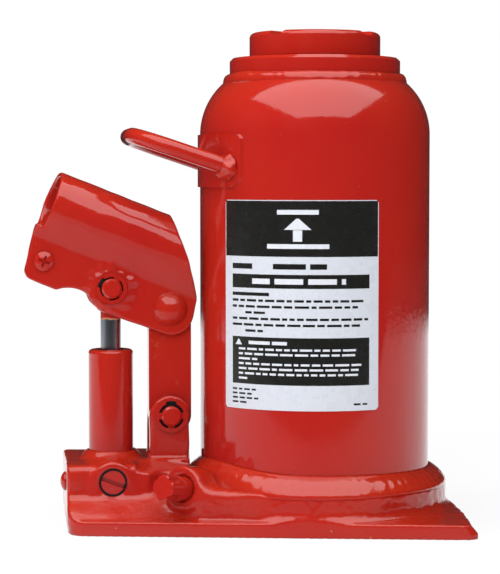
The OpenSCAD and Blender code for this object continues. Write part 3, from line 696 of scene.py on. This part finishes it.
def build_label():
    """Film and generic print: a black header with a lift symbol, a band, a block and bars for print."""
    rng = random.Random(7)
    width, height = LABEL_WIDTH, LABEL_HIGH - LABEL_LOW
    film = bent_plate(rectangle(0, 0, width, height, 1.2 * MM), 0.03 * MM, 0.14 * MM)
    mesh = outward(mesh_from("label_film", *film))
    add_piece("label_sheet", mesh, "root", "label_film", ["label"], smooth=False)

    edge, rim, header_v = 5.0 * MM, 0.4 * MM, 73.2 * MM
    full = width - 2 * edge
    black = [rectangle(rim, header_v, width - rim, height - rim)]
    black.append(rectangle(edge, 58.1 * MM, width - edge, 64.7 * MM))
    black.append(rectangle(edge, 12.1 * MM, width - edge, 34.7 * MM))
    black.append(rectangle(edge, 67.2 * MM, edge + 12 * MM, 69.8 * MM))
    black.append(rectangle(edge + 23 * MM, 67.2 * MM, edge + 39 * MM, 69.8 * MM))
    black.append(rectangle(edge + 41 * MM, 67.2 * MM, edge + 49 * MM, 69.8 * MM))
    black.append(rectangle(edge, 54.4 * MM, edge + 21 * MM, 56.0 * MM))
    for row, share in enumerate((0.98, 0.93, 0.30, 0.99, 0.96, 0.28)):
        v = (51.6 - 2.9 * row) * MM
        indent = (8 if row in (2, 5) else 0) * MM
        black += word_bars(edge + indent, v, edge + share * full, 1.15 * MM, rng)
    for row, share in enumerate((0.20, 0.18, 0.22, 0.14)):
        end = edge + share * full
        black += word_bars(edge, (9.0 - 2.1 * row) * MM, end, 0.9 * MM, rng, (2, 4))
    black += word_bars(width - edge - 8 * MM, 2.6 * MM, width - edge - 1 * MM, 0.9 * MM, rng, (3, 4))
    printed("label_print_dark", black, 0.17 * MM, INK_BLACK)

    middle_v = (header_v + height) / 2
    middle_u = width / 2
    white = [rectangle(middle_u - 15 * MM, middle_v - 9.6 * MM, middle_u + 15 * MM, middle_v - 7.4 * MM)]
    white.append(rectangle(middle_u - 10 * MM, middle_v + 6.6 * MM,
                           middle_u + 10 * MM, middle_v + 8.8 * MM))
    white.append([(middle_u - 6.5 * MM, middle_v - 0.6 * MM),
                  (middle_u + 6.5 * MM, middle_v - 0.6 * MM), (middle_u, middle_v + 5.2 * MM)])
    white.append(rectangle(middle_u - 2.2 * MM, middle_v - 6.2 * MM,
                           middle_u + 2.2 * MM, middle_v - 0.8 * MM))
    white += word_bars(edge + 12 * MM, 60.1 * MM, width - edge - 12 * MM, 2.6 * MM, rng, (9, 16), 2.4)
    white += word_bars(edge + 10 * MM, 31.2 * MM, edge + 30 * MM, 1.6 * MM, rng, (9, 12))
    white.append([(edge + 2 * MM, 30.8 * MM), (edge + 6 * MM, 30.8 * MM), (edge + 4 * MM, 33.8 * MM)])
    for row, share in enumerate((0.93, 0.90, 0.22, 0.94, 0.92, 0.95, 0.16)):
        end = edge + share * full
        white += word_bars(edge + 4 * MM, (28.4 - 2.35 * row) * MM, end, 1.0 * MM, rng)
    printed("label_print_light", white, 0.21 * MM, INK_WHITE)


# ---------------------------------------------------------------- stage

CAMERA_TURN = math.radians(7.0)


def build_stage():
    """A pale round floor. Seen in the paint it is dimmest in front and ends in a dark room."""
    reach = 3.0
    sink = -0.0002
    rim = [(reach * math.cos(math.radians(a)), reach * math.sin(math.radians(a)), sink)
           for a in range(0, 360, 5)]
    floor = bpy.data.objects.new("floor", mesh_from("floor", rim, [tuple(range(len(rim)))]))
    bpy.context.scene.collection.objects.link(floor)
    s = Shader("floor")
    pale = s.mix(s.remap(s.noise(3, 2), 0.3, 0.7), (0.88, 0.88, 0.88, 1), (0.91, 0.91, 0.91, 1))
    s.set(Base_Color=pale, Roughness=0.8, Specular_IOR_Level=0.1)
    rays = s.add("ShaderNodeLightPath")
    measure = s.add("ShaderNodeVectorMath", operation="LENGTH")
    s.feed(measure.inputs[0], s.place)
    distance = measure.outputs["Value"]
    # what the paint mirrors: for glossy rays the floor glows as a painted reflection, dim in front, bright
    # to the sides, a table that ends
    front = s.math("SUBTRACT", s.math("MULTIPLY", s.axis("Y"), -math.cos(CAMERA_TURN)),
                   s.math("MULTIPLY", s.axis("X"), math.sin(CAMERA_TURN)))
    facing = s.math("DIVIDE", front, distance)
    side_glow, front_glow = 1.10, 0.34
    table_front, table_front_end = 0.34, 0.42
    table_end, room_start = 1.15, 1.5
    glow = s.remap(facing, -0.2, 1.0, side_glow, front_glow)
    glow = s.math("MULTIPLY", glow, s.remap(front, table_front, table_front_end, 1.0, 0.0))
    glow = s.math("MULTIPLY", glow, s.remap(distance, table_end, room_start, 1.0, 0.05))
    mirrored = s.add("ShaderNodeEmission")
    s.feed(mirrored.inputs["Strength"], glow)
    # what the camera sees: white, with the lamps' shadow only close to the jack
    white = s.add("ShaderNodeEmission")
    seen = s.add("ShaderNodeMixShader")
    shadow_near, shadow_far, shadow_share = 0.15, 0.40, 0.15
    s.feed(seen.inputs[0], s.remap(distance, shadow_near, shadow_far, shadow_share, 0.0))
    s.feed(seen.inputs[1], white.outputs["Emission"])
    s.feed(seen.inputs[2], s.surface.outputs["BSDF"])
    lit = s.add("ShaderNodeMixShader")
    s.feed(lit.inputs[0], rays.outputs["Is Camera Ray"])
    s.feed(lit.inputs[1], s.surface.outputs["BSDF"])
    s.feed(lit.inputs[2], seen.outputs["Shader"])
    final = s.add("ShaderNodeMixShader")
    s.feed(final.inputs[0], rays.outputs["Is Glossy Ray"])
    s.feed(final.inputs[1], lit.outputs["Shader"])
    s.feed(final.inputs[2], mirrored.outputs["Emission"])
    s.feed(s.tree.nodes["Material Output"].inputs["Surface"], final.outputs["Shader"])
    floor.data.materials.append(s.material)


def soft_light(name, place, aim, size, power, in_paint=True):
    """Rectangular lamp. in_paint is False for one that must not show as a highlight."""
    data = bpy.data.lights.new(name, "AREA")
    data.shape = "RECTANGLE"
    data.size, data.size_y = size
    data.energy = power
    light = bpy.data.objects.new(name, data)
    bpy.context.scene.collection.objects.link(light)
    light.location = place
    light.rotation_euler = (Vector(aim) - Vector(place)).to_track_quat("-Z", "Y").to_euler()
    light.visible_glossy = in_paint
    light.visible_camera = False


def build_lights():
    middle = (0, 0, 0.11)
    soft_light("overhead", (0, -0.9, 1.15), (0, -0.9, 0), (2.0, 2.0), 30)
    soft_light("front_fill", (-0.75, -1.5, 0.75), middle, (0.9, 0.9), 12, in_paint=False)
    soft_light("side_fill", (-1.3, -0.2, 0.6), middle, (0.8, 0.8), 5, in_paint=False)
    soft_light("top_fill", (-0.4, 0.1, 1.2), middle, (0.6, 0.6), 6, in_paint=False)
    world = bpy.data.worlds.new("studio")
    world.use_nodes = True
    tree = world.node_tree
    dark = tree.nodes["Background"]
    dark.inputs["Color"].default_value = (0.9, 0.95, 1.0, 1)
    dark.inputs["Strength"].default_value = 0.03
    white = tree.nodes.new("ShaderNodeBackground")
    white.inputs["Color"].default_value = (1, 1, 1, 1)
    pick = tree.nodes.new("ShaderNodeMixShader")
    tree.links.new(tree.nodes.new("ShaderNodeLightPath").outputs["Is Camera Ray"], pick.inputs[0])
    tree.links.new(dark.outputs["Background"], pick.inputs[1])
    tree.links.new(white.outputs["Background"], pick.inputs[2])
    tree.links.new(pick.outputs["Shader"], tree.nodes["World Output"].inputs["Surface"])
    bpy.context.scene.world = world


def build_camera():
    """Eye a metre away, a little round towards the pump and just under the shoulder's height."""
    focal_px, frame_h, horizon_px = 2000, 574, 173
    distance, side, eye = 1.0, -0.03225, 0.172
    sensor_mm = 36
    pitch = math.atan((frame_h / 2 - horizon_px) / focal_px)
    data = bpy.data.cameras.new("camera")
    data.sensor_width = sensor_mm
    data.lens = sensor_mm * focal_px / frame_h
    data.clip_end = 20
    camera = bpy.data.objects.new("camera", data)
    bpy.context.scene.collection.objects.link(camera)
    camera.location = (side * math.cos(CAMERA_TURN) - distance * math.sin(CAMERA_TURN),
                       -side * math.sin(CAMERA_TURN) - distance * math.cos(CAMERA_TURN), eye)
    camera.rotation_euler = (math.pi / 2 - pitch, 0, -CAMERA_TURN)
    bpy.context.scene.camera = camera


paint_cad_nodes()
build_base()
build_welds()
build_handle_welds()
build_reservoir()
build_screw_thread()
build_dark_rings()
build_socket()
build_label()
build_stage()
build_lights()
build_camera()
bpy.context.scene.view_settings.view_transform = "Standard"
